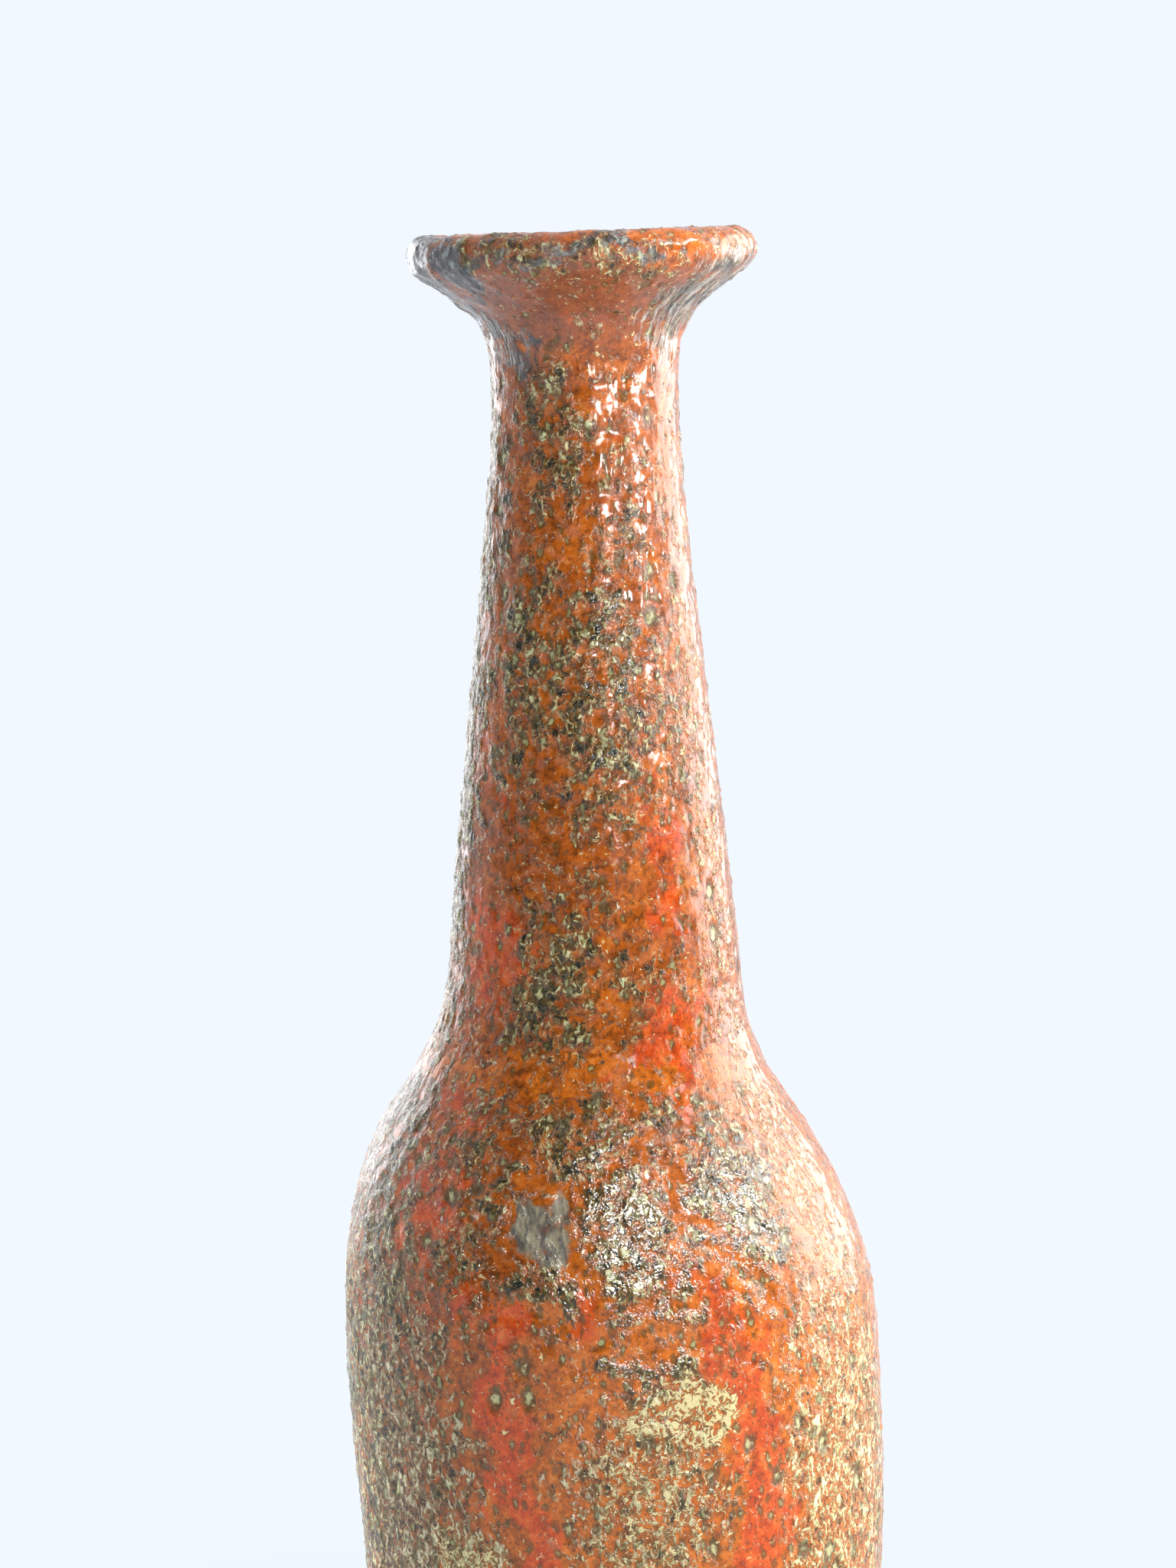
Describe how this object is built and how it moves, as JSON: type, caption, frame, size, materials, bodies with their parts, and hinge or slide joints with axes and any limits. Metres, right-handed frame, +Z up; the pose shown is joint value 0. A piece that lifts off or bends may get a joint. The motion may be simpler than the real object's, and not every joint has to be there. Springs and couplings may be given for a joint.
{
  "type": "vase",
  "caption": "Tall bottle vase in thrown earthenware with a barrel body, a tapering neck, a flared rolled lip and a thick orange-red crawled glaze.",
  "frame": {"origin": "centre of the foot ring's underside, on the surface that the vase stands on", "axes": "+Z up along the pot's own axis; -Y is the side that faces the camera in the picture"},
  "size_m": [0.132, 0.132, 0.3998],
  "materials": {
    "fired_clay": "matte, turned",
    "slip": "matte",
    "coat": "glossy, crawled and speckled",
    "liner": "semi-matte"
  },
  "bodies": {
    "root": {"body_section": "fired_clay", "neck_section": "fired_clay", "slip_joint": "slip", "outer_glaze": "coat", "liner_glaze": "liner"}
  },
  "joints": []
}
